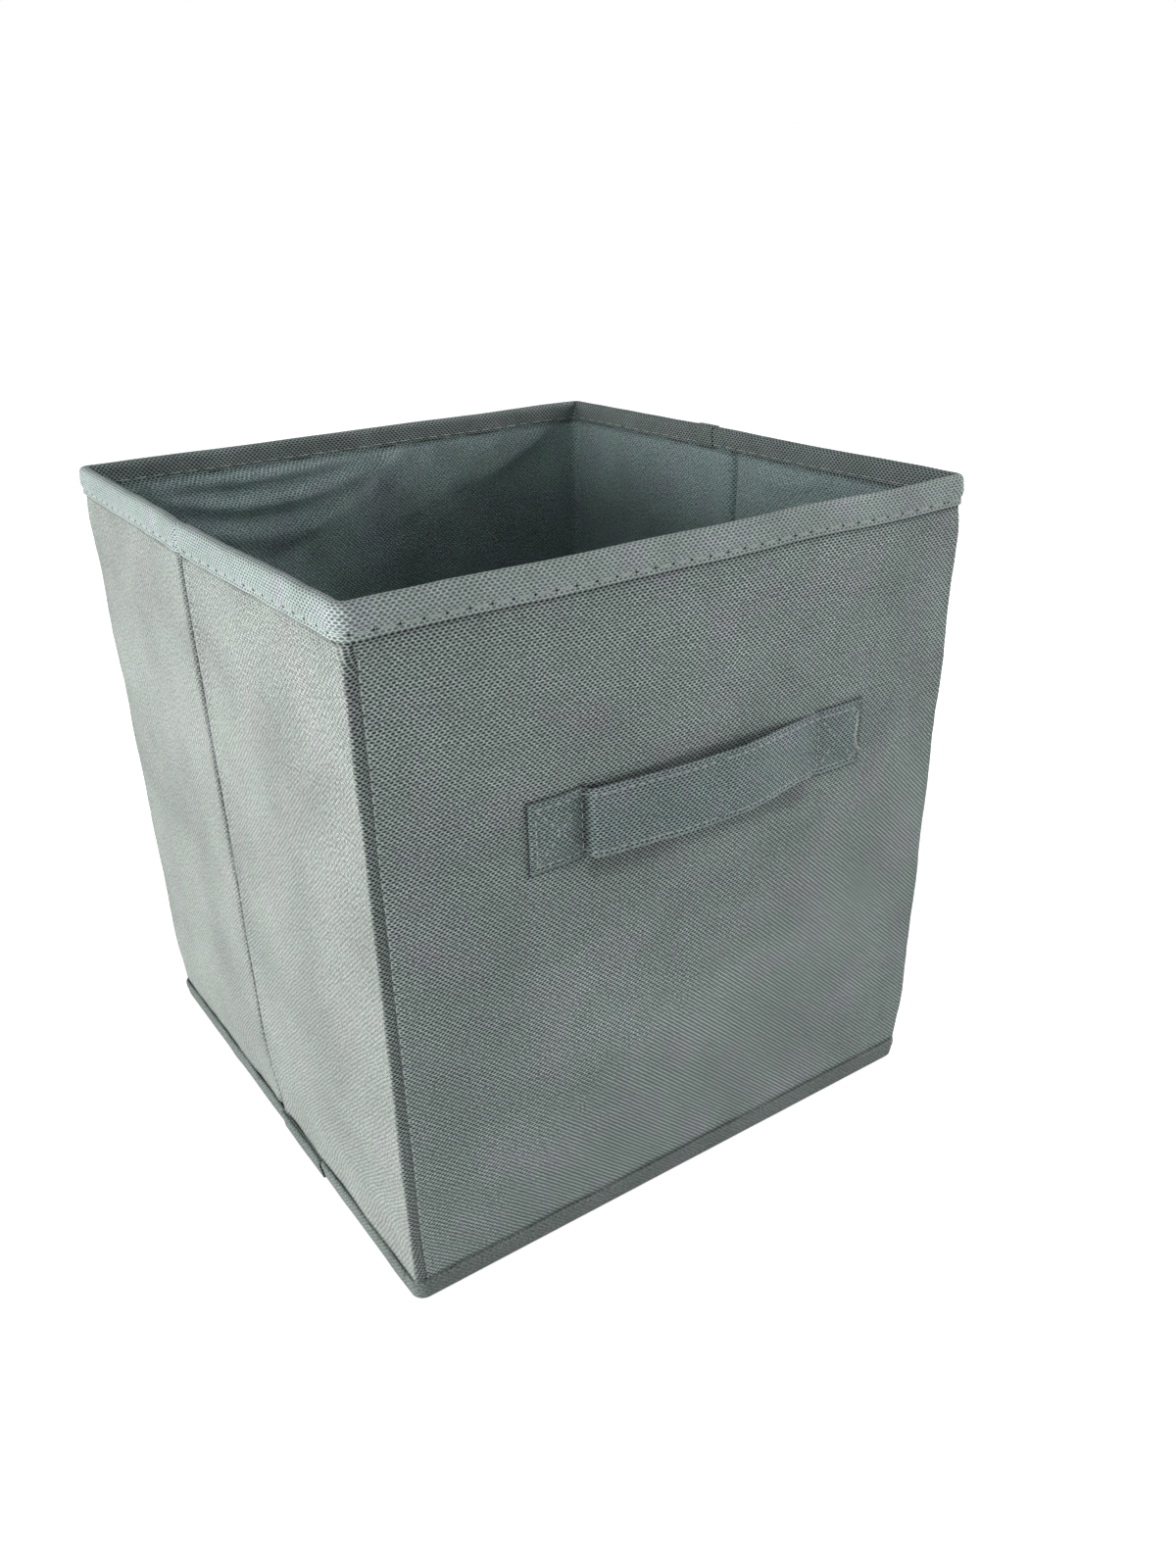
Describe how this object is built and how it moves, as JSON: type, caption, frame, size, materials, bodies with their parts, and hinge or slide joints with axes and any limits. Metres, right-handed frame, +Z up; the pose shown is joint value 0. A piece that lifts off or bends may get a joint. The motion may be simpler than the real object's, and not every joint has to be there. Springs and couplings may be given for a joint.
{
  "type": "fabric storage bin",
  "caption": "Open-topped square storage bin of grey nonwoven fabric over board panels, with bound edges, a strap handle, a loose base insert and walls that fold flat.",
  "frame": {"origin": "on the floor under the middle of the bin", "axes": "+Z up, -Y out of the front wall that carries the handle, +X to the right seen from the front"},
  "size_m": [0.2706, 0.2747, 0.28],
  "materials": {
    "outer_nonwoven": "grey spunbond polypropylene nonwoven, embossed with a staggered grid of small pits",
    "lining_nonwoven": "grey spunbond polypropylene nonwoven, plain side, lightly wrinkled",
    "binding_tape": "grey nonwoven binding tape, folded over the edge and topstitched",
    "hem_tape": "grey nonwoven binding tape, darker with handling",
    "floor_nonwoven": "grey spunbond nonwoven",
    "insert_nonwoven": "grey spunbond nonwoven sewn round a board",
    "handle_strap": "the same nonwoven folded into a flat strap with stitched edges",
    "stiffener_board": "plain greyboard"
  },
  "bodies": {
    "front_wall": {"front_outer": "outer_nonwoven", "front_board": "stiffener_board", "front_lining": "lining_nonwoven", "front_rim": "binding_tape", "floor_fabric": "floor_nonwoven", "front_floor_edge": "floor_nonwoven", "back_floor_edge": "floor_nonwoven", "left_floor_edge": "floor_nonwoven", "right_floor_edge": "floor_nonwoven", "front_hem": "hem_tape", "back_hem": "hem_tape", "left_hem": "hem_tape", "right_hem": "hem_tape", "handle_left_end": "handle_strap", "handle_left_run": "handle_strap", "handle_right_run": "handle_strap", "handle_right_end": "handle_strap"},
    "left_front_wall": {"left_front_outer": "outer_nonwoven", "left_front_board": "stiffener_board", "left_front_lining": "lining_nonwoven", "left_front_rim": "binding_tape"},
    "left_rear_wall": {"left_rear_outer": "outer_nonwoven", "left_rear_board": "stiffener_board", "left_rear_lining": "lining_nonwoven", "left_rear_rim": "binding_tape"},
    "back_wall": {"back_outer": "outer_nonwoven", "back_board": "stiffener_board", "back_lining": "lining_nonwoven", "back_rim": "binding_tape"},
    "right_front_wall": {"right_front_outer": "outer_nonwoven", "right_front_board": "stiffener_board", "right_front_lining": "lining_nonwoven", "right_front_rim": "binding_tape"},
    "right_rear_wall": {"right_rear_outer": "outer_nonwoven", "right_rear_board": "stiffener_board", "right_rear_lining": "lining_nonwoven", "right_rear_rim": "binding_tape"},
    "base_insert": {"insert_board": "stiffener_board", "insert_cover": "insert_nonwoven"},
    "handle_strap": {"handle_span": "handle_strap"}
  },
  "joints": [
    {"name": "wall_fold", "type": "hinge", "parent": "front_wall", "child": "left_front_wall", "pos_m": [-0.1298, -0.1283, 0], "axis": [0, 0, -1], "range_deg": [0, 88]},
    {"name": "left_seam_fold", "type": "hinge", "parent": "left_front_wall", "child": "left_rear_wall", "pos_m": [-0.137, 0, 0], "axis": [0, 0, 1], "range_deg": [0, 176]},
    {"name": "left_back_fold", "type": "hinge", "parent": "left_rear_wall", "child": "back_wall", "pos_m": [-0.1298, 0.1283, 0], "axis": [0, 0, -1], "range_deg": [0, 88]},
    {"name": "right_front_fold", "type": "hinge", "parent": "front_wall", "child": "right_front_wall", "pos_m": [0.1298, -0.1283, 0], "axis": [0, 0, 1], "range_deg": [0, 88]},
    {"name": "right_back_fold", "type": "hinge", "parent": "back_wall", "child": "right_rear_wall", "pos_m": [0.1298, 0.1283, 0], "axis": [0, 0, -1], "range_deg": [0, 88]},
    {"name": "insert_lift", "type": "slide", "parent": "front_wall", "child": "base_insert", "axis": [0, 0, 1], "range_m": [0, 0.3]},
    {"name": "handle_tip", "type": "hinge", "parent": "front_wall", "child": "handle_strap", "pos_m": [-0.0024, -0.1401, 0.1855], "axis": [1, 0, 0], "range_deg": [-25, 25]}
  ],
  "couplings": [
    {"joint": "left_seam_fold", "follows": "wall_fold", "ratio": 2},
    {"joint": "left_back_fold", "follows": "wall_fold", "ratio": 1},
    {"joint": "right_front_fold", "follows": "wall_fold", "ratio": 1},
    {"joint": "right_back_fold", "follows": "wall_fold", "ratio": 1}
  ]
}
